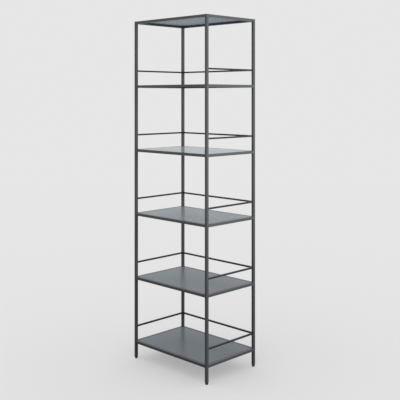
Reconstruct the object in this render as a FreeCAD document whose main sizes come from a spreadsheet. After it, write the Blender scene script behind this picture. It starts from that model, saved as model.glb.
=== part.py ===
import FreeCAD, Part
import os
from types import SimpleNamespace

import Sketcher
from FreeCAD import Vector

# Display shelf: a tall, open steel etagere with a welded frame.
# Four square-tube uprights carry six tiers. Each tier is a ring of four rails round a folded
# sheet tray whose top is flush with the rails. The five lower tiers have a low gallery bar on
# the left, the back and the right. Each upright stands on a screw-in levelling foot.
#
# The origin is on the floor, at the centre of the footprint. X runs along the length, the open
# front faces -Y and Z points up. All sizes are in millimetres.

SIZES = {
    # The whole shelf, over the outer faces of the uprights and from the floor to the top
    "overall_length": 600.0,
    "overall_depth": 400.0,
    "overall_height": 2000.0,
    # Floor to the underside of the lowest rails, with the feet screwed right in
    "lowest_rail_height": 90.0,
    # Square tube of the uprights and rails: its side, its wall and its rounded outer corners
    "tube_side": 15.0,
    "tube_wall": 1.5,
    "tube_corner_radius": 0.5,
    # Plate that closes the top of an upright
    "cap_thickness": 1.5,
    # Shelf tray: sheet, depth over the turned-down flanges, radius inside the bends, and how far
    # the notch at each corner of the blank runs in past the bends
    "sheet_thickness": 1.2,
    "tray_depth": 12.0,
    "bend_inside_radius": 1.5,
    "relief_reach": 0.6,
    # Gallery bar: the side of the square bar, and its middle above the shelf
    "gallery_bar_side": 9.0,
    "gallery_rise": 85.0,
    # Foot insert: its head below the tube, its plug inside the tube, and the ribs that grip
    "insert_head_thickness": 2.0,
    "plug_height": 16.0,
    "rib_thickness": 1.2,
    "rib_reach": 1.2,
    "rib_pitch": 4.0,
    "plug_clearance": 0.05,
    # Foot stud: its shank above the pad, and its hexagonal head, over the flats
    "stud_diameter": 6.0,
    "stud_length": 24.0,
    "stud_head_across": 10.0,
    "stud_head_thickness": 4.0,
    "thread_clearance": 0.05,
    # Foot pad: the round plastic foot that the stud's head is pressed into, and its lower edge
    "pad_diameter": 15.0,
    "pad_height": 8.0,
    "pad_chamfer": 1.0,
    # One overrun for every cut that has to come out past a face
    "cut_overrun": 1.0,
}

TIER_COUNT = 6
RIB_COUNT = 4

# A hexagon's corners lie further out than its flats, by this share of the flats' distance
HEXAGON_CORNER_SHARE = 1.1547005383792515
# Each corner of a hexagon, as shares of the distance to the corners
HEXAGON_POINT_SHARES = (
    (1.0, 0.0),
    (0.5, 0.8660254037844386),
    (-0.5, 0.8660254037844386),
    (-1.0, 0.0),
    (-0.5, -0.8660254037844386),
    (0.5, -0.8660254037844386),
)


class Size:
    """A size taken or worked out from the sheet: its amount, and the formula that gives it."""

    def __init__(self, amount, formula):
        self.amount = amount
        self.formula = formula

    def __add__(self, other):
        return combine(self, "+", other)

    def __radd__(self, other):
        return combine(other, "+", self)

    def __sub__(self, other):
        return combine(self, "-", other)

    def __rsub__(self, other):
        return combine(other, "-", self)

    def __mul__(self, other):
        return combine(self, "*", other)

    def __rmul__(self, other):
        return combine(other, "*", self)

    def __truediv__(self, other):
        return combine(self, "/", other)

    def __neg__(self):
        return combine(0, "-", self)


def amount_of(term):
    return term.amount if isinstance(term, Size) else term


def formula_of(term):
    return term.formula if isinstance(term, Size) else repr(term)


def combine(left, sign, right):
    """Join two terms, at least one of them a Size, by one of the four signs."""
    first = amount_of(left)
    second = amount_of(right)
    if sign == "+":
        amount = first + second
    elif sign == "-":
        amount = first - second
    elif sign == "*":
        amount = first * second
    else:
        amount = first / second
    return Size(amount, f"({formula_of(left)} {sign} {formula_of(right)})")


given = SimpleNamespace(**{name: Size(amount, "Sizes." + name) for name, amount in SIZES.items()})

# Places and fits that follow from the sizes above
tube_bore = given.tube_side - 2 * given.tube_wall
length_between = given.overall_length - 2 * given.tube_side
depth_between = given.overall_depth - 2 * given.tube_side
upright_x = (given.overall_length - given.tube_side) / 2
upright_y = (given.overall_depth - given.tube_side) / 2
upright_foot = given.pad_height + given.insert_head_thickness
upright_top = given.overall_height - given.cap_thickness
tier_pitch = (given.overall_height - given.tube_side - given.lowest_rail_height) / (TIER_COUNT - 1)
bend_outside_radius = given.bend_inside_radius + given.sheet_thickness
plug_side = tube_bore - 2 * given.plug_clearance
plug_core = plug_side - 2 * given.rib_reach
stud_hole_radius = given.stud_diameter / 2 + given.thread_clearance

CORNERS = {
    "front_left": (-upright_x, -upright_y),
    "front_right": (upright_x, -upright_y),
    "back_left": (-upright_x, upright_y),
    "back_right": (upright_x, upright_y),
}

doc = FreeCAD.newDocument("DisplayShelf")
nodes = []


def write_sheet():
    """Put every driving size in the sheet, one row each, under its own name."""
    sheet = doc.addObject("Spreadsheet::Sheet", "Sizes")
    for row, (name, amount) in enumerate(SIZES.items(), start=1):
        sheet.set(f"A{row}", name)
        sheet.set(f"B{row}", str(amount))
        sheet.setAlias(f"B{row}", name)
    doc.recompute()


def keep(item, label):
    """Name a finished piece. Its label is the name of its node and its file."""
    item.Label = label
    nodes.append(item)
    return item


def place(item, x, y, z):
    """Tie the item's position to the sheet."""
    item.Placement = FreeCAD.Placement(
        Vector(amount_of(x), amount_of(y), amount_of(z)), FreeCAD.Rotation()
    )
    for axis, term in zip("xyz", (x, y, z)):
        if isinstance(term, Size):
            item.setExpression(f"Placement.Base.{axis}", term.formula)


def sketch_on(body, name, role):
    """A new sketch on one of the body's own origin planes."""
    plane = next(item for item in body.Origin.OriginFeatures if item.Role == role)
    sketch = body.newObject("Sketcher::SketchObject", name)
    sketch.AttachmentSupport = (plane, [""])
    sketch.MapMode = "FlatFace"
    return sketch


def tie(sketch, kind, place_on, term):
    """Add one dimension, and tie it to the sheet where it isn't zero."""
    index = sketch.addConstraint(Sketcher.Constraint(kind, *place_on, amount_of(term)))
    if isinstance(term, Size):
        sketch.setExpression(f"Constraints[{index}]", term.formula)


def quarter(start, end, centre):
    """The short arc between two points about the centre, drawn anticlockwise.

    The second result says whether it then runs from start to end."""
    middle = (start + end) / 2 - centre
    middle.normalize()
    top = centre + middle * (start - centre).Length
    forward = (start - centre).cross(end - centre).z > 0
    return (Part.Arc(start, top, end) if forward else Part.Arc(end, top, start)), forward


def draw_outline(sketch, corners):
    """Close an outline through the corners.

    A corner is (u, v). Where a round starts there it is (u, v, radius, centre_u, centre_v)."""
    points = [Vector(amount_of(corner[0]), amount_of(corner[1]), 0) for corner in corners]
    sides = []
    for here, corner in enumerate(corners):
        start = points[here]
        end = points[(here + 1) % len(points)]
        shape, forward = Part.LineSegment(start, end), True
        if len(corner) > 2:
            centre = Vector(amount_of(corner[3]), amount_of(corner[4]), 0)
            shape, forward = quarter(start, end, centre)
        index = sketch.addGeometry(shape, False)
        sides.append((index, 1, 2) if forward else (index, 2, 1))
    for here, (corner, side) in enumerate(zip(corners, sides)):
        index, first, last = side
        following = sides[(here + 1) % len(sides)]
        sketch.addConstraint(Sketcher.Constraint("Coincident", index, last, *following[:2]))
        tie(sketch, "DistanceX", (-1, 1, index, first), corner[0])
        tie(sketch, "DistanceY", (-1, 1, index, first), corner[1])
        if len(corner) > 2:
            tie(sketch, "Radius", (index,), corner[2])


def draw_rounded_square(sketch, side, radius):
    """A square about the sketch's origin, with rounded corners."""
    edge = side / 2
    flat = edge - radius
    draw_outline(
        sketch,
        (
            (-flat, -edge),
            (flat, -edge, radius, flat, -flat),
            (edge, -flat),
            (edge, flat, radius, flat, flat),
            (flat, edge),
            (-flat, edge, radius, -flat, flat),
            (-edge, flat),
            (-edge, -flat, radius, -flat, -flat),
        ),
    )


def draw_square(sketch, side):
    """A square about the sketch's origin, with sharp corners."""
    edge = side / 2
    draw_outline(sketch, ((-edge, -edge), (edge, -edge), (edge, edge), (-edge, edge)))


def draw_gallery_section(sketch):
    """Drawn square bar."""
    draw_square(sketch, given.gallery_bar_side)


def draw_tube_outline(sketch):
    """Outside of the frame's tube, which the caps and the heads of the foot inserts share."""
    draw_rounded_square(sketch, given.tube_side, given.tube_corner_radius)


def draw_tube_section(sketch):
    draw_tube_outline(sketch)
    draw_square(sketch, tube_bore)


def draw_hexagon(sketch, across):
    """A hexagon about the sketch's origin, across being the distance over its flats."""
    reach = across * HEXAGON_CORNER_SHARE / 2
    draw_outline(sketch, [(reach * u, reach * v) for u, v in HEXAGON_POINT_SHARES])


def draw_circle(sketch, radius):
    """A circle about the sketch's origin."""
    circle = Part.Circle(Vector(0, 0, 0), Vector(0, 0, 1), radius.amount)
    index = sketch.addGeometry(circle, False)
    sketch.addConstraint(Sketcher.Constraint("Coincident", index, 3, -1, 1))
    tie(sketch, "Radius", (index,), radius)


def thicken(body, sketch, name, length, symmetric=False):
    """Pad a sketch by a length, to one side of its plane or half to each side."""
    pad = body.newObject("PartDesign::Pad", name)
    pad.Profile = sketch
    pad.SideType = "Symmetric" if symmetric else "One side"
    pad.setExpression("Length", length.formula)
    return pad


def sink(body, sketch, name, length):
    """Cut a sketch away, half the length to each side of its plane."""
    pocket = body.newObject("PartDesign::Pocket", name)
    pocket.Profile = sketch
    pocket.SideType = "Symmetric"
    pocket.setExpression("Length", length.formula)
    return pocket


def new_body(name):
    return doc.addObject("PartDesign::Body", name)


# The plane that a bar's section is drawn on, by the way the bar runs
SECTION_PLANE = {"x": "YZ_Plane", "y": "XZ_Plane", "z": "XY_Plane"}


def bar(label, way, draw_section, length, x, y, z):
    """A straight length of one section, about its own middle."""
    body = new_body(label)
    section = sketch_on(body, "Section", SECTION_PLANE[way])
    draw_section(section)
    thicken(body, section, "Run", length, symmetric=True)
    place(body, x, y, z)
    return body


def tube(label, way, length, x, y, z):
    """A length of the frame's square tube."""
    return bar(label, way, draw_tube_section, length, x, y, z)


def group(label, pieces):
    """Separate solids of one kind that share a node."""
    together = doc.addObject("Part::Compound", label)
    together.Links = pieces
    return keep(together, label)


def build_uprights():
    """Full-height tubes that stand on the heads of the foot inserts."""
    length = upright_top - upright_foot
    middle = (upright_top + upright_foot) / 2
    for corner, (x, y) in CORNERS.items():
        keep(tube("upright", "z", length, x, y, middle), f"{corner}_upright")


def build_upright_caps():
    """Plates of the tube's own outline, welded over the open tops of the uprights."""
    height = given.overall_height - given.cap_thickness / 2
    group(
        "upright_top_caps",
        [
            bar("cap", "z", draw_tube_outline, given.cap_thickness, x, y, height)
            for x, y in CORNERS.values()
        ],
    )


def build_tier_rails(tier, height):
    """Four rails between the uprights, flush with their outer faces."""
    middle = height + given.tube_side / 2
    keep(tube("rail", "x", length_between, 0, -upright_y, middle), f"shelf_{tier}_front_rail")
    keep(tube("rail", "x", length_between, 0, upright_y, middle), f"shelf_{tier}_back_rail")
    keep(tube("rail", "y", depth_between, -upright_x, 0, middle), f"shelf_{tier}_left_rail")
    keep(tube("rail", "y", depth_between, upright_x, 0, middle), f"shelf_{tier}_right_rail")


def draw_flange(sketch, reach):
    """Section of a bend and its flange, for the side whose outer face is at reach."""
    thickness = given.sheet_thickness
    bend = reach - bend_outside_radius
    inner = reach - thickness
    draw_outline(
        sketch,
        (
            (bend, 0, bend_outside_radius, bend, -bend_outside_radius),
            (reach, -bend_outside_radius),
            (reach, -given.tray_depth),
            (inner, -given.tray_depth),
            (inner, -bend_outside_radius, given.bend_inside_radius, bend, -bend_outside_radius),
            (bend, -thickness),
        ),
    )


def mirror(body, feature, name, role):
    """Repeat a feature on the far side of one of the body's own origin planes."""
    plane = next(item for item in body.Origin.OriginFeatures if item.Role == role)
    mirrored = body.newObject("PartDesign::Mirrored", name)
    mirrored.Originals = [feature]
    mirrored.MirrorPlane = (plane, [""])
    body.Tip = mirrored
    return mirrored


def build_tray(tier, height):
    """Folded sheet shelf: a flat top, four turned-down flanges and a notch at each corner.

    Its outer faces meet the inner faces of the rails, where it is welded from below, and its
    body's origin is at the middle of its top."""
    body = new_body("tray")
    half_length = length_between / 2
    half_depth = depth_between / 2
    flat_x = half_length - bend_outside_radius
    flat_y = half_depth - bend_outside_radius

    top = sketch_on(body, "FlatTop", "XY_Plane")
    draw_outline(
        top, ((-flat_x, -flat_y), (flat_x, -flat_y), (flat_x, flat_y), (-flat_x, flat_y))
    )
    plate = thicken(body, top, "Plate", given.sheet_thickness)
    plate.Reversed = True

    end_section = sketch_on(body, "EndFlangeSection", "XZ_Plane")
    draw_flange(end_section, half_length)
    end_flange = thicken(body, end_section, "EndFlange", 2 * flat_y, symmetric=True)
    mirror(body, end_flange, "FarEndFlange", "YZ_Plane")

    side_section = sketch_on(body, "SideFlangeSection", "YZ_Plane")
    draw_flange(side_section, half_depth)
    side_flange = thicken(body, side_section, "SideFlange", 2 * flat_x, symmetric=True)
    mirror(body, side_flange, "FarSideFlange", "XZ_Plane")

    notches = sketch_on(body, "CornerNotchSection", "XY_Plane")
    for x_side in (-1, 1):
        for y_side in (-1, 1):
            near_x = x_side * (flat_x - given.relief_reach)
            near_y = y_side * (flat_y - given.relief_reach)
            far_x = x_side * (half_length + given.cut_overrun)
            far_y = y_side * (half_depth + given.cut_overrun)
            draw_outline(
                notches, ((near_x, near_y), (far_x, near_y), (far_x, far_y), (near_x, far_y))
            )
    body.Tip = sink(body, notches, "CornerNotches", 2 * (given.tray_depth + given.cut_overrun))

    place(body, 0, 0, height + given.tube_side)
    keep(body, f"shelf_{tier}_tray")


def build_gallery(tier, height):
    """Thin bars between the uprights, on their centre lines: left, back and right."""
    middle = height + given.tube_side + given.gallery_rise
    for name, x in (("left", -upright_x), ("right", upright_x)):
        piece = bar("gallery", "y", draw_gallery_section, depth_between, x, 0, middle)
        keep(piece, f"shelf_{tier}_{name}_gallery_bar")
    piece = bar("gallery", "x", draw_gallery_section, length_between, 0, upright_y, middle)
    keep(piece, f"shelf_{tier}_back_gallery_bar")


def build_tiers():
    """All tiers, from the lowest. The top one has no gallery."""
    for tier in range(1, TIER_COUNT + 1):
        height = given.lowest_rail_height + (tier - 1) * tier_pitch
        build_tier_rails(tier, height)
        build_tray(tier, height)
        if tier < TIER_COUNT:
            build_gallery(tier, height)


def foot_insert(x, y):
    """Ribbed plug with a flat head that closes the tube's lower end and takes the stud."""
    body = new_body("insert")
    core = sketch_on(body, "CoreSection", "XY_Plane")
    draw_square(core, plug_core)
    thicken(body, core, "Core", given.plug_height)

    head = sketch_on(body, "HeadSection", "XY_Plane")
    draw_tube_outline(head)
    below = thicken(body, head, "Head", given.insert_head_thickness)
    below.Reversed = True

    rib_section = sketch_on(body, "RibSection", "XY_Plane")
    rib_section.setExpression("AttachmentOffset.Base.z", given.rib_pitch.formula + " / 2")
    draw_square(rib_section, plug_side)
    rib = thicken(body, rib_section, "Rib", given.rib_thickness)

    vertical = next(item for item in body.Origin.OriginFeatures if item.Role == "Z_Axis")
    ribs = body.newObject("PartDesign::LinearPattern", "Ribs")
    ribs.Originals = [rib]
    ribs.Direction = (vertical, [""])
    ribs.Mode = "Spacing"
    ribs.Occurrences = RIB_COUNT
    ribs.setExpression("Offset", given.rib_pitch.formula)
    body.Tip = ribs

    hole = sketch_on(body, "StudHoleSection", "XY_Plane")
    draw_circle(hole, stud_hole_radius)
    through = 2 * (given.plug_height + given.insert_head_thickness + given.cut_overrun)
    body.Tip = sink(body, hole, "StudHole", through)
    place(body, x, y, upright_foot)
    return body


def build_foot_inserts():
    """The plugs in the lower ends of the four uprights."""
    group("foot_inserts", [foot_insert(x, y) for x, y in CORNERS.values()])


def foot_stud(x, y):
    """Screwed stud. Its hexagonal head is pressed into the pad, flush with the pad's top."""
    body = new_body("stud")
    head = sketch_on(body, "HeadSection", "XY_Plane")
    draw_hexagon(head, given.stud_head_across)
    below = thicken(body, head, "Head", given.stud_head_thickness)
    below.Reversed = True

    shank = sketch_on(body, "ShankSection", "XY_Plane")
    draw_circle(shank, given.stud_diameter / 2)
    thicken(body, shank, "Shank", given.stud_length)
    place(body, x, y, given.pad_height)
    return body


def foot_pad(x, y):
    """Round pad with a chamfered lower edge and a hexagonal seat for the stud's head."""
    body = new_body("pad")
    radius = given.pad_diameter / 2
    section = sketch_on(body, "HalfSection", "XZ_Plane")
    draw_outline(
        section,
        (
            (0, -given.pad_height),
            (radius - given.pad_chamfer, -given.pad_height),
            (radius, given.pad_chamfer - given.pad_height),
            (radius, 0),
            (0, 0),
        ),
    )
    turned = body.newObject("PartDesign::Revolution", "Round")
    turned.Profile = section
    turned.ReferenceAxis = (section, ["V_Axis"])

    seat = sketch_on(body, "SeatSection", "XY_Plane")
    draw_hexagon(seat, given.stud_head_across)
    body.Tip = sink(body, seat, "Seat", 2 * given.stud_head_thickness)
    place(body, x, y, given.pad_height)
    return body


def build_feet():
    """Four levelling feet, screwed right in, so that their pads bear on the insert heads."""
    for corner, (x, y) in CORNERS.items():
        keep(foot_stud(x, y), f"{corner}_foot_stud")
        keep(foot_pad(x, y), f"{corner}_foot_pad")


def check():
    """Stop where anything in the document failed, or a piece isn't sound."""
    for item in doc.Objects:
        if "Invalid" in item.State or "Error" in item.State:
            raise RuntimeError(f"{item.Label} failed: {item.State}")
    for item in nodes:
        shape = item.Shape
        if shape.isNull() or not shape.isValid() or not shape.Solids:
            raise RuntimeError(f"{item.Label} has no sound solid")


def write_nodes():
    """One file for each piece or group of like pieces."""
    os.makedirs("parts", exist_ok=True)
    for item in nodes:
        item.Shape.exportStep(f"parts/{item.Label}.step")


write_sheet()
build_uprights()
build_upright_caps()
build_tiers()
build_foot_inserts()
build_feet()
doc.recompute()
check()
write_nodes()
print(f"{len(nodes)} nodes, {sum(len(item.Shape.Solids) for item in nodes)} solids")
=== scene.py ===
import math
import random

import bpy
from bpy.props import FloatProperty, FloatVectorProperty, IntProperty, PointerProperty
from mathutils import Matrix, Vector


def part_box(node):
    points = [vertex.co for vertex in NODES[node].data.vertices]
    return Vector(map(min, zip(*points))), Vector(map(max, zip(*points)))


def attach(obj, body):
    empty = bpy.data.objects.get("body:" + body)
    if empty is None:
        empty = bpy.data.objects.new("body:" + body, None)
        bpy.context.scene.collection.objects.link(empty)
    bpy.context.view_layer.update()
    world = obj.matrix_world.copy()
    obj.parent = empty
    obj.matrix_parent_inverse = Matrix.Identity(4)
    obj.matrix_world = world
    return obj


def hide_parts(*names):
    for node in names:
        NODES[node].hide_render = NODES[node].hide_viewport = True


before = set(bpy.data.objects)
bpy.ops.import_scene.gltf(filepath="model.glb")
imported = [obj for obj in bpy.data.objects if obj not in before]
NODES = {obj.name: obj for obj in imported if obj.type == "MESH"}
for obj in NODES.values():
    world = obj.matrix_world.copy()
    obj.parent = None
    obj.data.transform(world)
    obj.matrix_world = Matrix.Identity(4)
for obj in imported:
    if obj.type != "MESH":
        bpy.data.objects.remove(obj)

bl_info = {
    "name": "Display Shelf Dresser",
    "version": (1, 0, 0),
    "blender": (4, 5, 0),
    "location": "View3D > Sidebar > Display Shelf",
    "description": "Dresses a welded display shelf: its coat, its welds, its feet and its stage",
    "category": "Object",
}

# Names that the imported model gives
CORNERS = ("front_left", "front_right", "back_left", "back_right")
TIERS = tuple(range(1, sum(name.endswith("_tray") for name in NODES) + 1))
TOP_TIER = TIERS[-1]

# Names of the finishes
TUBE_COAT = "powder coat on tube"
SHEET_COAT = "powder coat on sheet"
# The bars' finish is the tubes' coat painted darker, as painted shade on the thin bars
SHADED_BAR_COAT = "powder coat on bar, painted darker as shade"
NYLON_FINISH = "moulded nylon"
ZINC_FINISH = "zinc plating"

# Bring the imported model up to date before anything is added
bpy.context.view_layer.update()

MM = 0.001
FULL_TURN = 2 * math.pi
QUARTER_TURN = math.pi / 2
# The ways along and across the shelf, and down
RIGHTWARD = Vector((1, 0, 0))
BACKWARD = Vector((0, 1, 0))
DOWNWARD = Vector((0, 0, -1))

SEED = 4597


# Settings


class ShelfCoatSettings(bpy.types.PropertyGroup):
    tube_colour: FloatVectorProperty(
        name="Tube colour",
        description="Coat of the uprights, their caps and the rails",
        default=(0.046, 0.050, 0.051),
        subtype="COLOR",
        min=0,
        max=1,
    )
    # Painted shade: the bars have the tubes' coat, and this darker colour stands in for the shade
    # on them, not for a thicker coat
    bar_shaded_colour: FloatVectorProperty(
        name="Bar colour",
        description="Coat of the thin gallery bars, darker where it builds up on their edges",
        default=(0.015, 0.017, 0.018),
        subtype="COLOR",
        min=0,
        max=1,
    )
    tray_colour: FloatVectorProperty(
        name="Tray colour",
        description="Coat of the sheet shelves, a little bluer where it lies flat",
        default=(0.058, 0.080, 0.106),
        subtype="COLOR",
        min=0,
        max=1,
    )
    tube_roughness: FloatProperty(
        name="Tube roughness",
        description="How much the satin coat on the tubes blurs what it reflects",
        default=0.34,
        subtype="FACTOR",
        min=0,
        max=1,
    )
    tray_roughness: FloatProperty(
        name="Tray roughness",
        description="How much the satin coat on the flat sheet blurs what it reflects",
        default=0.3,
        subtype="FACTOR",
        min=0,
        max=1,
    )
    tube_gloss: FloatProperty(
        name="Tube gloss",
        description="Strength of the reflection in the coat on the tubes",
        default=0.45,
        subtype="FACTOR",
        min=0,
        max=1,
    )
    tray_gloss: FloatProperty(
        name="Tray gloss",
        description="Strength of the reflection in the coat on the flat sheet",
        default=0.33,
        subtype="FACTOR",
        min=0,
        max=1,
    )
    bar_gloss: FloatProperty(
        name="Bar gloss",
        description="Strength of the reflection in the coat on the gallery bars",
        default=0.3,
        subtype="FACTOR",
        min=0,
        max=1,
    )
    sheet_sheen: FloatProperty(
        name="Sheet sheen",
        description="Paleness that the fine texture of the sheet takes on when seen along it",
        default=0.365,
        subtype="FACTOR",
        min=0,
        max=1,
    )
    sheen_tint: FloatVectorProperty(
        name="Sheen tint",
        description="Colour of that paleness",
        default=(0.82, 0.93, 1.0),
        subtype="COLOR",
        min=0,
        max=1,
    )
    sheen_roughness: FloatProperty(
        name="Sheen roughness",
        description="How widely that paleness spreads from the edge-on view",
        default=0.45,
        subtype="FACTOR",
        min=0,
        max=1,
    )
    grazing_gloss: FloatProperty(
        name="Grazing gloss",
        description="How much less the sheet blurs a reflection when seen almost edge on",
        default=0.15,
        subtype="FACTOR",
        min=0,
        max=1,
    )
    underside_sheen: FloatProperty(
        name="Underside sheen",
        description="Paleness of the thin, dull coat under the trays when seen along it",
        default=1.0,
        subtype="FACTOR",
        min=0,
        max=1,
    )
    peel_height: FloatProperty(
        name="Orange peel height",
        description="Height of the fine waves in the baked powder",
        default=12e-6,
        subtype="DISTANCE",
        unit="LENGTH",
    )
    peel_width: FloatProperty(
        name="Orange peel width",
        description="Distance from wave to wave",
        default=2.4 * MM,
        subtype="DISTANCE",
        unit="LENGTH",
    )
    sheet_wave: FloatProperty(
        name="Sheet wave",
        description="How far the folded sheet is out of flat",
        default=0.25 * MM,
        subtype="DISTANCE",
        unit="LENGTH",
    )


class ShelfWeldSettings(bpy.types.PropertyGroup):
    rail_leg: FloatProperty(
        name="Rail weld leg",
        description="Leg of the fillets above and below the ends of the rails",
        default=1.8 * MM,
        subtype="DISTANCE",
        unit="LENGTH",
    )
    gallery_leg: FloatProperty(
        name="Gallery weld leg",
        description="Leg of the fillets round the ends of the gallery bars",
        default=1.2 * MM,
        subtype="DISTANCE",
        unit="LENGTH",
    )
    stitch_length: FloatProperty(
        name="Stitch length",
        description="Length of the short welds under a tray",
        default=22 * MM,
        subtype="DISTANCE",
        unit="LENGTH",
    )
    stitch_leg: FloatProperty(
        name="Stitch leg",
        description="Leg of the short welds under a tray",
        default=1.3 * MM,
        subtype="DISTANCE",
        unit="LENGTH",
    )
    long_side_stitches: IntProperty(
        name="Stitches on a long side",
        description="Short welds along the front and the back of a tray",
        default=4,
        min=1,
    )
    short_side_stitches: IntProperty(
        name="Stitches on a short side",
        description="Short welds along the left and the right of a tray",
        default=3,
        min=1,
    )


class ShelfFootSettings(bpy.types.PropertyGroup):
    thread_pitch: FloatProperty(
        name="Thread pitch",
        description="Rise of the stud's thread in one turn",
        default=1.0 * MM,
        subtype="DISTANCE",
        unit="LENGTH",
    )
    thread_depth: FloatProperty(
        name="Thread depth",
        description="Depth of the stud's thread",
        default=0.58 * MM,
        subtype="DISTANCE",
        unit="LENGTH",
    )
    pad_round: FloatProperty(
        name="Pad round",
        description="Radius of the lower edge of a foot pad",
        default=1.6 * MM,
        subtype="DISTANCE",
        unit="LENGTH",
    )
    nylon_colour: FloatVectorProperty(
        name="Nylon colour",
        description="Moulded pads and tube inserts",
        default=(0.012, 0.012, 0.013),
        subtype="COLOR",
        min=0,
        max=1,
    )
    zinc_colour: FloatVectorProperty(
        name="Zinc colour",
        description="Plating of the foot studs",
        default=(0.62, 0.63, 0.65),
        subtype="COLOR",
        min=0,
        max=1,
    )


class ShelfStageSettings(bpy.types.PropertyGroup):
    camera_place: FloatVectorProperty(
        name="Camera place",
        description="Where the camera stands",
        default=(3.1023, -3.0772, 1.5529),
        subtype="TRANSLATION",
        unit="LENGTH",
    )
    camera_aim: FloatVectorProperty(
        name="Camera aim",
        description="The level way that the camera looks",
        default=(-0.70416, 0.71004, 0.0),
        subtype="DIRECTION",
    )
    lens: FloatProperty(
        name="Lens",
        description="Focal length on a 36 mm sensor",
        default=67.149,
        unit="CAMERA",
    )
    camera_drop: FloatProperty(
        name="Camera drop",
        description="Upward shift of the camera's frame, as a share of its width",
        default=-0.25796,
    )
    backdrop: FloatVectorProperty(
        name="Backdrop",
        description="Pale colour behind the shelf",
        default=(0.797, 0.797, 0.795),
        subtype="COLOR",
        min=0,
        max=1,
    )
    floor_colour: FloatVectorProperty(
        name="Floor",
        description="Pale colour of the floor",
        default=(0.863, 0.863, 0.860),
        subtype="COLOR",
        min=0,
        max=1,
    )
    near_bounce: FloatVectorProperty(
        name="Near bounce",
        description="What the floor sends back on the shelf from close by",
        default=(0.03, 0.03, 0.03),
        subtype="COLOR",
        min=0,
        max=1,
    )
    far_bounce: FloatVectorProperty(
        name="Far bounce",
        description="What the floor sends back on the shelf from further out",
        default=(0.42, 0.42, 0.42),
        subtype="COLOR",
        min=0,
        max=1,
    )
    floor_reach: FloatProperty(
        name="Floor reach",
        description="Radius of the floor",
        default=11.0,
        subtype="DISTANCE",
        unit="LENGTH",
    )
    room_light: FloatProperty(
        name="Room light",
        description="Strength of the even light from all round",
        default=0.85,
    )
    floor_glow: FloatProperty(
        name="Floor glow",
        description="Share of the floor's paleness that no shadow takes away",
        default=0.396,
        subtype="FACTOR",
        min=0,
        max=1,
    )
    floor_mirror: FloatProperty(
        name="Floor mirror",
        description="Share of the floor's paleness that shows where the shelf mirrors it",
        default=0.4,
        subtype="FACTOR",
        min=0,
        max=1,
    )


class DisplayShelfSettings(bpy.types.PropertyGroup):
    coat: PointerProperty(type=ShelfCoatSettings)
    welds: PointerProperty(type=ShelfWeldSettings)
    feet: PointerProperty(type=ShelfFootSettings)
    stage: PointerProperty(type=ShelfStageSettings)


# Shader maths


class Graph:
    """A material's or world's nodes, added one by one."""

    def __init__(self, owner):
        owner.use_nodes = True
        self.tree = owner.node_tree
        self.tree.nodes.clear()

    def feed(self, socket, value):
        if isinstance(value, Wire):
            self.tree.links.new(value.socket, socket)
        elif hasattr(socket.default_value, "__len__") and len(socket.default_value) == 4:
            socket.default_value = (*value[:3], 1.0)
        else:
            socket.default_value = value

    def node(self, kind, settings=None, inputs=None, output=0):
        """Add a node: its settings first, then the values or links of its sockets."""
        made = self.tree.nodes.new(kind)
        for name, value in (settings or {}).items():
            setattr(made, name, value)
        for name, value in (inputs or {}).items():
            self.feed(made.inputs[name], value)
        return Wire(self, made.outputs[output]) if len(made.outputs) else made

    def maths(self, operation, *terms):
        return self.node("ShaderNodeMath", {"operation": operation}, dict(enumerate(terms)))

    def blend(self, share, first, second):
        """Mix two colours."""
        sockets = {0: share, 6: first, 7: second}
        return self.node("ShaderNodeMix", {"data_type": "RGBA"}, sockets, output=2)

    def mix_shaders(self, share, first, second):
        return self.node("ShaderNodeMixShader", inputs={0: share, 1: first, 2: second})

    def ramp(self, value, low, high):
        """A smooth step from 0 at low to 1 at high."""
        return self.node(
            "ShaderNodeMapRange",
            {"interpolation_type": "SMOOTHSTEP"},
            {"Value": value, "From Min": low, "From Max": high},
        )

    def clouds(self, place, width, detail=2.0, roughness=0.5):
        """Noise about 0.5 whose lumps are about width across, in metres."""
        return self.node(
            "ShaderNodeTexNoise",
            inputs={"Vector": place, "Scale": 1 / width, "Detail": detail, "Roughness": roughness},
        )

    def spots(self, place, width):
        """Distance from the nearest of many scattered points, in shares of width."""
        return self.node(
            "ShaderNodeTexVoronoi",
            inputs={"Vector": place, "Scale": 1 / width},
            output="Distance",
        )

    def place(self):
        return self.node("ShaderNodeTexCoord", output="Object")

    def upward(self):
        """How much the surface faces up: 1 on top and -1 below."""
        normal = self.node("ShaderNodeTexCoord", output="Normal")
        return self.node("ShaderNodeSeparateXYZ", inputs={"Vector": normal}, output="Z")

    def bump(self, height):
        """A normal for a height given in metres."""
        return self.node(
            "ShaderNodeBump", inputs={"Strength": 1.0, "Distance": 1.0, "Height": height}
        )

    def finish(self, kind, shader):
        """Add the output node, with the shader on its first socket."""
        self.node(kind, inputs={0: shader})


class Wire:
    """An output that takes part in sums as a number would."""

    def __init__(self, graph, socket):
        self.graph = graph
        self.socket = socket

    def __add__(self, other):
        return self.graph.maths("ADD", self, other)

    __radd__ = __add__

    def __sub__(self, other):
        return self.graph.maths("SUBTRACT", self, other)

    def __rsub__(self, other):
        return self.graph.maths("SUBTRACT", other, self)

    def __mul__(self, other):
        return self.graph.maths("MULTIPLY", self, other)

    __rmul__ = __mul__


def shade(colour, share):
    """A colour made darker or lighter by a share."""
    return tuple(channel * share for channel in colour)


# Finishes

# Powder coat: widths in metres, of soft clouds of tone, finer mottling, slight waves in the sheet
# and the gap from speck to speck
CLOUD_WIDTH = 0.19
MOTTLE_WIDTH = 0.011
WAVE_WIDTH = 0.24
SPECK_GAP = 0.021
# A speck's edge, in shares of the gap
SPECK_EDGE = (0.018, 0.034)
# The clouds' share of the tone, how far the tone swings, and how strong and how pale a speck is
CLOUD_SHARE = 0.7
TONE_SWING = 0.12
SPECK_STRENGTH = 0.35
SPECK_PALENESS = 1.9
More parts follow.
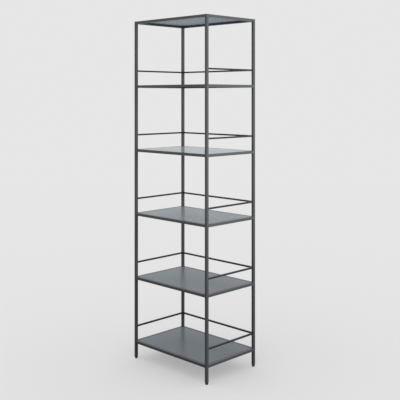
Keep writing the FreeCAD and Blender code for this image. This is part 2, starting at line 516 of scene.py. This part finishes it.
# What clouds, mottling and specks add to the roughness
CLOUD_DULLING = 0.10
MOTTLE_DULLING = 0.05
SPECK_DULLING = 0.12
# The fine grain on the orange peel: how many to a wave, and its share of the wave's height
GRAINS_TO_A_WAVE = 6
GRAIN_SHARE = 0.25
# On sheet: how edge on it is seen where it turns smoother, and how far it faces up where the
# underside's coat gives way to the top's
EDGE_ON = (0.8, 0.93)
UNDER_TO_TOP = (-0.7, -0.3)


def powder_coat(coat, name, colour, base_roughness, gloss, sheet=False):
    """Satin powder coat: soft clouds of tone, orange peel, fine grain and a few dull specks.

    On sheet it lies in slight waves, is smoother when seen almost edge on and is dull below."""
    material = bpy.data.materials.new(name)
    graph = Graph(material)
    place = graph.place()
    clouds = graph.clouds(place, CLOUD_WIDTH, detail=3.0)
    mottle = graph.clouds(place, MOTTLE_WIDTH, detail=2.0)
    peel = graph.clouds(place, coat.peel_width, detail=1.0)
    grain = graph.clouds(place, coat.peel_width / GRAINS_TO_A_WAVE, detail=1.0)
    specks = 1 - graph.ramp(graph.spots(place, SPECK_GAP), *SPECK_EDGE)

    uneven = CLOUD_SHARE * clouds + (1 - CLOUD_SHARE) * mottle
    tone = graph.blend(uneven, shade(colour, 1 - TONE_SWING), shade(colour, 1 + TONE_SWING))
    tone = graph.blend(SPECK_STRENGTH * specks, tone, shade(colour, SPECK_PALENESS))
    roughness = (
        base_roughness
        + CLOUD_DULLING * (clouds - 0.5)
        + MOTTLE_DULLING * (mottle - 0.5)
        + SPECK_DULLING * specks
    )
    height = coat.peel_height * peel + GRAIN_SHARE * coat.peel_height * grain
    if sheet:
        height = height + coat.sheet_wave * graph.clouds(place, WAVE_WIDTH, detail=1.0)
        facing = graph.node("ShaderNodeLayerWeight", inputs={"Blend": 0.5}, output="Facing")
        roughness = roughness - coat.grazing_gloss * graph.ramp(facing, *EDGE_ON)
    normal = graph.bump(height)

    def coated(specular, sheen):
        return graph.node(
            "ShaderNodeBsdfPrincipled",
            inputs={
                "Base Color": tone,
                "Roughness": roughness,
                "Specular IOR Level": specular,
                "Sheen Weight": sheen,
                "Sheen Roughness": coat.sheen_roughness,
                "Sheen Tint": coat.sheen_tint,
                "Normal": normal,
            },
        )

    if sheet:
        above = coated(gloss, coat.sheet_sheen)
        below = coated(0.0, coat.underside_sheen)
        shader = graph.mix_shaders(graph.ramp(graph.upward(), *UNDER_TO_TOP), below, above)
    else:
        shader = coated(gloss, 0.0)
    graph.finish("ShaderNodeOutputMaterial", shader)
    return material


# Nylon: widths of its texture and its scuffs, where the noise counts as a scuff, and the height
# of the texture
TEXTURE_WIDTH = 0.45 * MM
SCUFF_WIDTH = 5 * MM
SCUFF_EDGE = (0.58, 0.72)
TEXTURE_HEIGHT = 22e-6


def moulded_nylon(name, colour):
    """Black nylon from a spark-eroded mould: fine even texture, scuffed grey in places."""
    material = bpy.data.materials.new(name)
    graph = Graph(material)
    place = graph.place()
    texture = graph.clouds(place, TEXTURE_WIDTH, detail=2.0, roughness=0.6)
    scuffs = graph.ramp(graph.clouds(place, SCUFF_WIDTH, detail=4.0, roughness=0.65), *SCUFF_EDGE)
    tone = graph.blend(texture, shade(colour, 0.8), shade(colour, 1.25))
    tone = graph.blend(0.4 * scuffs, tone, shade(colour, 3.2))
    shader = graph.node(
        "ShaderNodeBsdfPrincipled",
        inputs={
            "Base Color": tone,
            "Roughness": 0.55 + 0.12 * (texture - 0.5) + 0.15 * scuffs,
            "Specular IOR Level": 0.4,
            "Normal": graph.bump(TEXTURE_HEIGHT * texture),
        },
    )
    graph.finish("ShaderNodeOutputMaterial", shader)
    return material


# Zinc: widths of its cloudy patches and its grain, and the height of the grain
PATCH_WIDTH = 3.5 * MM
PLATING_GRAIN = 0.3 * MM
PLATING_HEIGHT = 6e-6


def zinc_plating(name, colour):
    """Bright zinc on a rolled stud: cloudy plating with darker, duller patches."""
    material = bpy.data.materials.new(name)
    graph = Graph(material)
    place = graph.place()
    patches = graph.clouds(place, PATCH_WIDTH, detail=4.0, roughness=0.6)
    grain = graph.clouds(place, PLATING_GRAIN, detail=2.0)
    tone = graph.blend(patches, shade(colour, 0.72), shade(colour, 1.12))
    shader = graph.node(
        "ShaderNodeBsdfPrincipled",
        inputs={
            "Base Color": tone,
            "Metallic": 1.0,
            "Roughness": 0.26 + 0.22 * patches + 0.08 * grain,
            "Normal": graph.bump(PLATING_HEIGHT * grain),
        },
    )
    graph.finish("ShaderNodeOutputMaterial", shader)
    return material


def paint(item, material):
    """Give the item this one material."""
    item.data.materials.clear()
    item.data.materials.append(material)


# Mesh helpers

SHARP_ANGLE = math.radians(38)


def add_piece(name, points, faces, material, body="frame"):
    """A new piece of the shelf, riding on one of its bodies."""
    mesh = bpy.data.meshes.new(name)
    mesh.from_pydata([tuple(point) for point in points], [], faces)
    mesh.validate()
    item = bpy.data.objects.new(name, mesh)
    bpy.context.scene.collection.objects.link(item)
    paint(item, bpy.data.materials[material])
    mesh.shade_smooth()
    mesh.set_sharp_from_angle(angle=SHARP_ANGLE)
    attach(item, body)
    return item


def loft(rings, closed_path=False):
    """Points and faces of a skin over like rings of points, its ends filled unless it closes."""
    count = len(rings[0])
    points = [point for ring in rings for point in ring]
    faces = []
    for here in range(len(rings) if closed_path else len(rings) - 1):
        near = here * count
        far = (here + 1) % len(rings) * count
        for k in range(count):
            following = (k + 1) % count
            faces.append((near + k, near + following, far + following, far + k))
    if not closed_path:
        faces.append(tuple(reversed(range(count))))
        faces.append(tuple(range((len(rings) - 1) * count, len(rings) * count)))
    return points, faces


def gather(parts):
    """Join several lists of points and faces into one."""
    points, faces = [], []
    for more_points, more_faces in parts:
        shift = len(points)
        points += more_points
        faces += [tuple(index + shift for index in face) for face in more_faces]
    return points, faces


def smooth_step(value):
    """Ease from 0 to 1 as the value goes from 0 to 1."""
    value = min(max(value, 0.0), 1.0)
    return value * value * (3 - 2 * value)


class Ripple:
    """A gentle, seeded unevenness along a weld, about 1, whose waves are about pitch apart."""

    def __init__(self, chance, depth, pitch):
        self.depth = depth
        self.pitch = pitch
        self.waves = [(chance.uniform(0, FULL_TURN), chance.uniform(0.7, 1.3)) for _ in range(3)]

    def at(self, distance):
        """The size of the bead at a distance along it."""
        total = sum(
            math.sin(FULL_TURN * distance / (self.pitch * stretch) + phase)
            for phase, stretch in self.waves
        )
        return 1 + self.depth * total / len(self.waves)


# Welds

# Steps in each corner and side of a bar's outline, in a fillet's hollow, along a stitch and round
# its bead
OUTLINE_STEPS = 6
FILLET_STEPS = 4
STITCH_STEPS = 26
BEAD_STEPS = 5
# How far a weld goes into the steel that it joins, and how far a dressed one lies below its surface
SINK = 0.05 * MM
DRESSED_DEPTH = 0.04 * MM
# How deep and how far up the bar a rail's weld goes at the least
WELD_ROOT = 0.8 * MM
WELD_LAP = 1.2 * MM
# Where a rail's fillet starts to rise between its ground sides and its top or bottom, and over how
# much of the way it does
RISE_START = 0.2
RISE_RUN = 0.5
# Radius of a gallery weld's inner corners, and how deep it goes
GALLERY_EDGE = 0.3 * MM
GALLERY_ROOT = 4 * SINK
# Depth of each weld's ripples, as a share of its leg, and their pitch
RAIL_RIPPLE = (0.10, 2.2 * MM)
GALLERY_RIPPLE = (0.12, 1.7 * MM)
STITCH_RIPPLE = (0.13, 1.9 * MM)
# How far a stitch may stray, in millimetres, how much its length varies, and its size at the ends
STITCH_STRAY = 3
STITCH_SPREAD = 0.15
STITCH_END = 0.04


def corner_radius(node):
    """Radius of an upright's rounded corners, from the flat part of its front face."""
    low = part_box(node)[0]
    front = [vertex.co.x for vertex in NODES[node].data.vertices if vertex.co.y < low.y + SINK]
    return min(front) - low.x


def rounded_outline(half, radius):
    """Points and outward ways round a square with rounded corners, anticlockwise."""
    flat = half - radius
    outline = []
    for turn in range(4):
        start = turn * QUARTER_TURN
        corner = (
            flat * math.copysign(1, math.cos(start + QUARTER_TURN / 2)),
            flat * math.copysign(1, math.sin(start + QUARTER_TURN / 2)),
        )
        for step in range(OUTLINE_STEPS + 1):
            angle = start + step * QUARTER_TURN / OUTLINE_STEPS
            way = (math.cos(angle), math.sin(angle))
            outline.append(((corner[0] + radius * way[0], corner[1] + radius * way[1]), way))
        end, way = outline[-1]
        side = (-way[1], way[0])
        for step in range(1, OUTLINE_STEPS):
            reach = 2 * flat * step / OUTLINE_STEPS
            outline.append(((end[0] + side[0] * reach, end[1] + side[1] * reach), way))
    return outline


def bar_ends(node, lengthwise):
    """Both ends of a level bar. Each is (foot, along, across, half): the middle of the end, the
    way up the bar from it, the level way across the bar, and half the bar's side."""
    low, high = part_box(node)
    centre = (low + high) / 2
    along, across = (RIGHTWARD, BACKWARD) if lengthwise else (BACKWARD, RIGHTWARD)
    reach = (high - low).dot(along) / 2
    half = (high.z - low.z) / 2
    return [(centre + along * (end * reach), along * -end, across, half) for end in (-1, 1)]


def end_weld(end, radius, profile, width=math.inf):
    """Weld round an end of a square bar, as bar_ends gives it, that meets a flat face.

    profile(way, distance) gives the section's points as (up the bar, off the bar). No point comes
    further out sideways than half the width, where the weld is ground flat."""
    foot, along, across, half = end
    rings = []
    distance = 0.0
    last = None
    for (u, v), way in rounded_outline(half, radius):
        if last:
            distance += math.dist((u, v), last)
        last = (u, v)
        ring = []
        for up, off in profile(way, distance):
            level = min(max(u + off * way[0], -width / 2), width / 2)
            ring.append(foot + along * up + across * level + Vector((0, 0, v + off * way[1])))
        rings.append(ring)
    return loft(rings, closed_path=True)


def hollow_fillet(leg):
    """Section of a hollow fillet, from the bar at the leg's end to the face."""
    turns = [QUARTER_TURN * step / FILLET_STEPS for step in range(FILLET_STEPS + 1)]
    return [(leg * (1 - math.sin(turn)), leg * (1 - math.cos(turn))) for turn in turns]


def rail_weld(end, radius, leg, upright_above, chance):
    """Weld of a rail's end: ground flush at the sides, small fillets above and below.

    radius is that of the tubes' corners. The top tier, where the uprights end, has none above."""
    ripple = Ripple(chance, *RAIL_RIPPLE)
    far = SINK - radius

    def profile(way, distance):
        rise = smooth_step((abs(way[1]) - RISE_START) / RISE_RUN)
        if way[1] > 0 and not upright_above:
            rise = 0.0
        size = leg * rise * ripple.at(distance)
        section = [(up, off - DRESSED_DEPTH) for up, off in hollow_fillet(max(size, SINK / 4))]
        section[0] = (max(size, WELD_LAP), -DRESSED_DEPTH)
        out = section[-1][1]
        return [*section, (far, out), (far, -WELD_ROOT), (WELD_LAP, -WELD_ROOT)]

    half = end[-1]
    return end_weld(end, radius, profile, width=2 * (half - DRESSED_DEPTH))


def gallery_weld(end, leg, chance):
    """Fillet all round the end of a gallery bar."""
    ripple = Ripple(chance, *GALLERY_RIPPLE)

    def profile(_way, distance):
        size = leg * ripple.at(distance)
        return [*hollow_fillet(size), (-SINK, size), (-SINK, -GALLERY_ROOT), (size, -GALLERY_ROOT)]

    return end_weld(end, GALLERY_EDGE, profile)


def stitch_weld(start, along, inward, length, leg, chance):
    """Short bead in the corner under a tray's flange, against the rail."""
    ripple = Ripple(chance, *STITCH_RIPPLE)
    rings = []
    for step in range(STITCH_STEPS + 1):
        share = step / STITCH_STEPS
        swell = math.sqrt(max(1 - (2 * share - 1) ** 6, 0.0)) + STITCH_END
        size = leg * swell * ripple.at(share * length)
        here = start + along * (length * share)
        ring = [here + inward * (-SINK) + DOWNWARD * (-SINK)]
        for turn in range(BEAD_STEPS + 1):
            angle = QUARTER_TURN * turn / BEAD_STEPS
            ring.append(
                here + inward * (size * math.cos(angle)) + DOWNWARD * (size * math.sin(angle))
            )
        rings.append(ring)
    return loft(rings)


def stitch_side(node, inward, welds, chance):
    """The short welds under the side of a tray from which this way points inward."""
    low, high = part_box(node)
    centre = (low + high) / 2
    lengthwise = inward.x == 0
    along, across = (RIGHTWARD, BACKWARD) if lengthwise else (BACKWARD, RIGHTWARD)
    count = welds.long_side_stitches if lengthwise else welds.short_side_stitches
    run = (high - low).dot(along)
    depth = (high - low).dot(across) / 2
    edge = Vector((centre.x, centre.y, low.z)) - inward * depth
    stitches = []
    for number in range(count):
        offset = run * ((number + 0.5) / count - 0.5)
        offset += chance.uniform(-STITCH_STRAY, STITCH_STRAY) * MM
        length = welds.stitch_length * chance.uniform(1 - STITCH_SPREAD, 1 + STITCH_SPREAD)
        start = edge + along * (offset - length / 2)
        stitches.append(stitch_weld(start, along, inward, length, welds.stitch_leg, chance))
    return stitches


# Feet

# Pad: steps round it and round its lower edge, and the radius of the flat in its middle
PAD_STEPS = 72
PAD_EDGE_STEPS = 6
PAD_MIDDLE = 0.4 * MM
# Groove under the pad, as (distance in from the rounded edge, height)
PAD_GROOVE = ((1.2 * MM, 0.0), (0.7 * MM, 0.25 * MM), (0.2 * MM, 0.0))
# Parting line: its height as a share of the pad's, half its width and its depth
PARTING_SHARE = 0.55
PARTING_HALF = 0.15 * MM
PARTING_DEPTH = 0.12 * MM
# The pad's broken upper edge: how far down and in it goes, and where it turns
TOP_EDGE = 0.5 * MM
TOP_TURN = 0.15 * MM
# Stud: steps round it and to a pitch, and the radius of the flat in the middle of its ends
STUD_STEPS = 48
PITCH_STEPS = 8
STUD_MIDDLE = 0.3 * MM
# Radius over the thread, the chamfer of its end, where it starts above the head and over how far
# it reaches its full depth, and how flat its roots are
THREAD_CREST = 3.0 * MM
THREAD_CHAMFER = 0.8 * MM
THREAD_START = 0.4 * MM
THREAD_RUN_IN = 0.8 * MM
ROOT_FLATNESS = 1.15
# The head's broken edge: its height and the radius that it leaves
HEAD_EDGE = 0.25 * MM
HEAD_CROWN = 5.2 * MM


def turned_rings(rings, steps, middle_point):
    """Rings of points round an upright axis. Each ring is (height, radius at an angle)."""
    made = []
    for height, radius in rings:
        ring = []
        for step in range(steps):
            angle = FULL_TURN * step / steps
            reach = radius(angle, height) if callable(radius) else radius
            ring.append(
                middle_point + Vector((reach * math.cos(angle), reach * math.sin(angle), height))
            )
        made.append(ring)
    return made


def hexagon(across):
    """Radius of a hexagon at an angle, by its distance over the flats."""
    sixth = math.pi / 3

    def radius(angle, _height):
        return across / 2 / math.cos(angle % sixth - sixth / 2)

    return radius


def build_pad(corner, feet):
    """Moulded foot pad with a rounded lower edge, a parting line and an open hexagonal seat."""
    low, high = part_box(f"{corner}_foot_pad")
    stud_low, stud_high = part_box(f"{corner}_foot_stud")
    radius = (high.x - low.x) / 2
    height = high.z - low.z
    seat_floor = stud_low.z - low.z
    centre = Vector(((low.x + high.x) / 2, (low.y + high.y) / 2, low.z))
    seat = hexagon(stud_high.y - stud_low.y)
    edge = feet.pad_round
    rings = [(0.0, PAD_MIDDLE)]
    rings += [(up, radius - edge - inward) for inward, up in PAD_GROOVE]
    for step in range(PAD_EDGE_STEPS + 1):
        turn = QUARTER_TURN * step / PAD_EDGE_STEPS
        rings.append((edge * (1 - math.cos(turn)), radius - edge + edge * math.sin(turn)))
    parting = PARTING_SHARE * height
    rings += [
        (parting - PARTING_HALF, radius),
        (parting, radius - PARTING_DEPTH),
        (parting + PARTING_HALF, radius),
        (height - TOP_EDGE, radius),
        (height - TOP_TURN, radius - TOP_TURN),
        (height, radius - TOP_EDGE),
        (height, seat),
        (seat_floor, seat),
        (seat_floor, PAD_MIDDLE),
    ]
    points, faces = loft(turned_rings(rings, PAD_STEPS, centre))
    name = f"{corner}_moulded_pad"
    pad = add_piece(name, points, faces, NYLON_FINISH, body=f"{corner}_foot")
    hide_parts(f"{corner}_foot_pad")


def build_stud(corner, feet):
    """Hexagon-headed stud with a rolled thread and a chamfered end."""
    low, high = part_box(f"{corner}_foot_stud")
    pad_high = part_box(f"{corner}_foot_pad")[1]
    centre = Vector(((low.x + high.x) / 2, (low.y + high.y) / 2, low.z))
    head = pad_high.z - low.z
    length = high.z - low.z
    hexagonal = hexagon(high.y - low.y)

    def crowned(angle, height):
        return min(hexagonal(angle, height), HEAD_CROWN)

    def threaded(angle, height):
        turn = (height / feet.thread_pitch - angle / FULL_TURN) % 1.0
        groove = 1 - abs(2 * turn - 1)
        started = smooth_step((height - head - THREAD_START) / THREAD_RUN_IN)
        depth = feet.thread_depth * smooth_step(groove * ROOT_FLATNESS) * started
        return min(THREAD_CREST - depth, THREAD_CREST - THREAD_CHAMFER + (length - height))

    rings = [
        (0.0, STUD_MIDDLE),
        (0.0, hexagonal),
        (head - HEAD_EDGE, hexagonal),
        (head, crowned),
        (head, THREAD_CREST),
    ]
    steps = round((length - head) / (feet.thread_pitch / PITCH_STEPS))
    rings += [(head + (length - head) * step / steps, threaded) for step in range(1, steps + 1)]
    rings.append((length, STUD_MIDDLE))
    points, faces = loft(turned_rings(rings, STUD_STEPS, centre))
    name = f"{corner}_threaded_stud"
    stud = add_piece(name, points, faces, ZINC_FINISH, body=f"{corner}_foot")
    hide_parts(f"{corner}_foot_stud")


# Stage

# Steps round the floor
FLOOR_STEPS = 128
# In metres: how far from its middle the floor starts to fade, how far inside its rim it is gone,
# and where its bounce changes from near to far
FADE_START = 2.6
FADE_MARGIN = 1.0
BOUNCE_CHANGE = (1.0, 6.0)
# Width of the floor's mottling, and how far its tone swings
FLOOR_MOTTLE = 0.6
FLOOR_SWING = 0.003
# Softboxes: name, place, aim, width and height in metres, power in watts
SOFTBOXES = (
    ("right_softbox", (2.6, 0.2, 1.8), (0.0, 0.0, 1.2), 1.4, 1.4, 38.0),
    ("near_right_softbox", (1.7, 0.4, 1.6), (0.3, -0.2, 1.5), 0.8, 0.8, 17.0),
    ("low_right_softbox", (1.6, 0.3, 1.2), (0.3, -0.2, 1.2), 0.8, 0.8, 6.0),
    ("near_front_softbox", (1.6, -1.1, 1.7), (0.3, -0.2, 1.4), 0.8, 0.8, 10.0),
)
SENSOR_WIDTH = 36.0
CLIP_END = 60.0


def make_floor(stage):
    """A pale disc that fades out into the backdrop and keeps the shelf's shadow."""
    reach = stage.floor_reach
    points = [(0.0, 0.0, 0.0)]
    faces = []
    for step in range(FLOOR_STEPS):
        angle = FULL_TURN * step / FLOOR_STEPS
        points.append((reach * math.cos(angle), reach * math.sin(angle), 0.0))
        faces.append((0, step + 1, (step + 1) % FLOOR_STEPS + 1))
    mesh = bpy.data.meshes.new("studio_floor")
    mesh.from_pydata(points, [], faces)
    floor = bpy.data.objects.new("studio_floor", mesh)
    bpy.context.scene.collection.objects.link(floor)

    material = bpy.data.materials.new("pale floor")
    graph = Graph(material)
    place = graph.place()
    out = graph.node("ShaderNodeVectorMath", {"operation": "LENGTH"}, {0: place}, output="Value")
    fade = graph.ramp(out, FADE_START, stage.floor_reach - FADE_MARGIN)
    seen = seen_share(graph, stage.floor_mirror)
    spread = graph.ramp(out, *BOUNCE_CHANGE)
    mottle = graph.clouds(place, FLOOR_MOTTLE, detail=2.0)
    pale = graph.blend(
        mottle,
        shade(stage.floor_colour, 1 - FLOOR_SWING),
        shade(stage.floor_colour, 1 + FLOOR_SWING),
    )
    lit = graph.node(
        "ShaderNodeBsdfPrincipled",
        inputs={"Base Color": pale, "Roughness": 1.0, "Specular IOR Level": 0.0},
    )
    glow = graph.node("ShaderNodeEmission", inputs={"Color": stage.floor_colour, "Strength": 1.0})
    shown = graph.mix_shaders(stage.floor_glow, lit, glow)
    near = graph.node("ShaderNodeBsdfDiffuse", inputs={"Color": stage.near_bounce})
    far = graph.node("ShaderNodeBsdfDiffuse", inputs={"Color": stage.far_bounce})
    bounce = graph.mix_shaders(spread, near, far)
    clear = graph.node("ShaderNodeBsdfTransparent")
    solid = graph.mix_shaders(seen, bounce, shown)
    graph.finish("ShaderNodeOutputMaterial", graph.mix_shaders(fade, solid, clear))
    paint(floor, material)
    return floor


def seen_share(graph, mirror=1.0):
    """1 for rays that show a thing, straight or through glass, mirror for those that show it
    mirrored, and 0 for the rest."""
    camera = graph.node("ShaderNodeLightPath", output="Is Camera Ray")
    glossy = graph.node("ShaderNodeLightPath", output="Is Glossy Ray")
    through = graph.node("ShaderNodeLightPath", output="Is Transmission Ray")
    return graph.maths("MINIMUM", camera + mirror * glossy + through, 1.0)


def make_world(stage):
    """Even light from all round, with the backdrop's colour where it shows."""
    world = bpy.data.worlds.new("pale room")
    bpy.context.scene.world = world
    graph = Graph(world)
    light = graph.node(
        "ShaderNodeBackground", inputs={"Color": (1.0, 1.0, 1.0), "Strength": stage.room_light}
    )
    backdrop = graph.node(
        "ShaderNodeBackground", inputs={"Color": stage.backdrop, "Strength": 1.0}
    )
    shader = graph.mix_shaders(seen_share(graph), light, backdrop)
    graph.finish("ShaderNodeOutputWorld", shader)


def make_lamps(floor):
    """Softboxes for the tubes: the room's light is enough for the floor and the flat trays."""
    unlit = bpy.data.collections.new("not under the softboxes")
    for item in (floor, *[NODES[f"shelf_{tier}_tray"] for tier in TIERS]):
        unlit.objects.link(item)
    for held in unlit.collection_objects:
        held.light_linking.link_state = "EXCLUDE"
    for name, place, aim, width, height, power in SOFTBOXES:
        lamp = bpy.data.lights.new(name, "AREA")
        lamp.shape = "RECTANGLE"
        lamp.size = width
        lamp.size_y = height
        lamp.energy = power
        item = bpy.data.objects.new(name, lamp)
        item.location = place
        item.rotation_mode = "QUATERNION"
        item.rotation_quaternion = (Vector(aim) - Vector(place)).to_track_quat("-Z", "Y")
        item.visible_camera = False
        item.visible_glossy = False
        item.light_linking.receiver_collection = unlit
        bpy.context.scene.collection.objects.link(item)


def make_camera(stage):
    """The camera at the photo's angle."""
    camera = bpy.data.cameras.new("studio_camera")
    camera.sensor_width = SENSOR_WIDTH
    camera.lens = stage.lens
    camera.shift_y = stage.camera_drop
    camera.clip_end = CLIP_END
    item = bpy.data.objects.new("studio_camera", camera)
    item.location = stage.camera_place
    item.rotation_mode = "QUATERNION"
    item.rotation_quaternion = Vector(stage.camera_aim).to_track_quat("-Z", "Y")
    bpy.context.scene.collection.objects.link(item)
    bpy.context.scene.camera = item


# Operators


class DISPLAYSHELF_OT_coat_frame(bpy.types.Operator):
    """Powder coat the tubes, the bars, the caps and the trays"""

    bl_idname = "display_shelf.coat_frame"
    bl_label = "Coat the frame"

    def execute(self, context):
        coat = context.scene.display_shelf.coat
        tube = powder_coat(coat, TUBE_COAT, coat.tube_colour, coat.tube_roughness, coat.tube_gloss)
        tray = powder_coat(
            coat, SHEET_COAT, coat.tray_colour, coat.tray_roughness, coat.tray_gloss, sheet=True
        )
        # The bars take the darker colour, which is painted shade
        bar = powder_coat(coat, SHADED_BAR_COAT, coat.bar_shaded_colour, coat.tube_roughness, coat.bar_gloss)
        for name, item in NODES.items():
            if name.endswith("_tray"):
                paint(item, tray)
            elif name.endswith("_bar"):
                paint(item, bar)
            elif "foot" not in name:
                paint(item, tube)
        return {"FINISHED"}


class DISPLAYSHELF_OT_weld_rails(bpy.types.Operator):
    """Weld the ends of the rails to the uprights"""

    bl_idname = "display_shelf.weld_rails"
    bl_label = "Weld the rails"

    def execute(self, context):
        leg = context.scene.display_shelf.welds.rail_leg
        radius = corner_radius("front_left_upright")
        chance = random.Random(SEED)
        for tier in TIERS:
            upright_above = tier != TOP_TIER
            parts = []
            for side in ("front", "back", "left", "right"):
                for end in bar_ends(f"shelf_{tier}_{side}_rail", side in ("front", "back")):
                    parts.append(rail_weld(end, radius, leg, upright_above, chance))
            points, faces = gather(parts)
            add_piece(f"shelf_{tier}_rail_welds", points, faces, TUBE_COAT)
        return {"FINISHED"}


class DISPLAYSHELF_OT_weld_gallery(bpy.types.Operator):
    """Weld the ends of the gallery bars to the uprights"""

    bl_idname = "display_shelf.weld_gallery"
    bl_label = "Weld the gallery bars"

    def execute(self, context):
        leg = context.scene.display_shelf.welds.gallery_leg
        chance = random.Random(SEED + 1)
        for tier in TIERS[:-1]:
            parts = []
            for side in ("left", "right", "back"):
                for end in bar_ends(f"shelf_{tier}_{side}_gallery_bar", side == "back"):
                    parts.append(gallery_weld(end, leg, chance))
            points, faces = gather(parts)
            # The gallery welds share the bars' painted shade
            add_piece(f"shelf_{tier}_gallery_welds", points, faces, SHADED_BAR_COAT)
        return {"FINISHED"}


class DISPLAYSHELF_OT_weld_trays(bpy.types.Operator):
    """Stitch the trays to the rails from below"""

    bl_idname = "display_shelf.weld_trays"
    bl_label = "Weld the trays"

    def execute(self, context):
        welds = context.scene.display_shelf.welds
        chance = random.Random(SEED + 2)
        for tier in TIERS:
            parts = []
            for inward in (BACKWARD, -BACKWARD, RIGHTWARD, -RIGHTWARD):
                parts += stitch_side(f"shelf_{tier}_tray", inward, welds, chance)
            points, faces = gather(parts)
            add_piece(f"shelf_{tier}_tray_welds", points, faces, TUBE_COAT)
        return {"FINISHED"}


class DISPLAYSHELF_OT_fit_feet(bpy.types.Operator):
    """Fit the moulded pads, the threaded studs and the finish of the tube inserts"""

    bl_idname = "display_shelf.fit_feet"
    bl_label = "Fit the feet"

    def execute(self, context):
        feet = context.scene.display_shelf.feet
        nylon = moulded_nylon(NYLON_FINISH, feet.nylon_colour)
        zinc = zinc_plating(ZINC_FINISH, feet.zinc_colour)
        paint(NODES["foot_inserts"], nylon)
        for corner in CORNERS:
            paint(NODES[f"{corner}_foot_pad"], nylon)
            paint(NODES[f"{corner}_foot_stud"], zinc)
            build_pad(corner, feet)
            build_stud(corner, feet)
        return {"FINISHED"}


class DISPLAYSHELF_OT_set_stage(bpy.types.Operator):
    """Set the floor, the room, the lamps and the camera"""

    bl_idname = "display_shelf.set_stage"
    bl_label = "Set the stage"

    def execute(self, context):
        context.scene.view_settings.view_transform = "Standard"
        stage = context.scene.display_shelf.stage
        make_world(stage)
        make_lamps(make_floor(stage))
        make_camera(stage)
        return {"FINISHED"}


class DISPLAYSHELF_PT_panel(bpy.types.Panel):
    """All settings of the shelf, and the operators that build on it"""

    bl_idname = "DISPLAYSHELF_PT_panel"
    bl_label = "Display Shelf"
    bl_space_type = "VIEW_3D"
    bl_region_type = "UI"
    bl_category = "Display Shelf"

    def draw(self, context):
        settings = context.scene.display_shelf
        for group in (settings.coat, settings.welds, settings.feet, settings.stage):
            box = self.layout.box()
            for name in group.__annotations__:
                box.prop(group, name)
        for operator in OPERATORS:
            self.layout.operator(operator.bl_idname)


OPERATORS = (
    DISPLAYSHELF_OT_coat_frame,
    DISPLAYSHELF_OT_weld_rails,
    DISPLAYSHELF_OT_weld_gallery,
    DISPLAYSHELF_OT_weld_trays,
    DISPLAYSHELF_OT_fit_feet,
    DISPLAYSHELF_OT_set_stage,
)

CLASSES = (
    ShelfCoatSettings,
    ShelfWeldSettings,
    ShelfFootSettings,
    ShelfStageSettings,
    DisplayShelfSettings,
    *OPERATORS,
    DISPLAYSHELF_PT_panel,
)


def register():
    for item in CLASSES:
        bpy.utils.register_class(item)
    bpy.types.Scene.display_shelf = PointerProperty(type=DisplayShelfSettings)


def unregister():
    del bpy.types.Scene.display_shelf
    for item in reversed(CLASSES):
        bpy.utils.unregister_class(item)


def main():
    register()
    bpy.ops.display_shelf.coat_frame()
    bpy.ops.display_shelf.weld_rails()
    bpy.ops.display_shelf.weld_gallery()
    bpy.ops.display_shelf.weld_trays()
    bpy.ops.display_shelf.fit_feet()
    bpy.ops.display_shelf.set_stage()


if __name__ == "__main__":
    main()
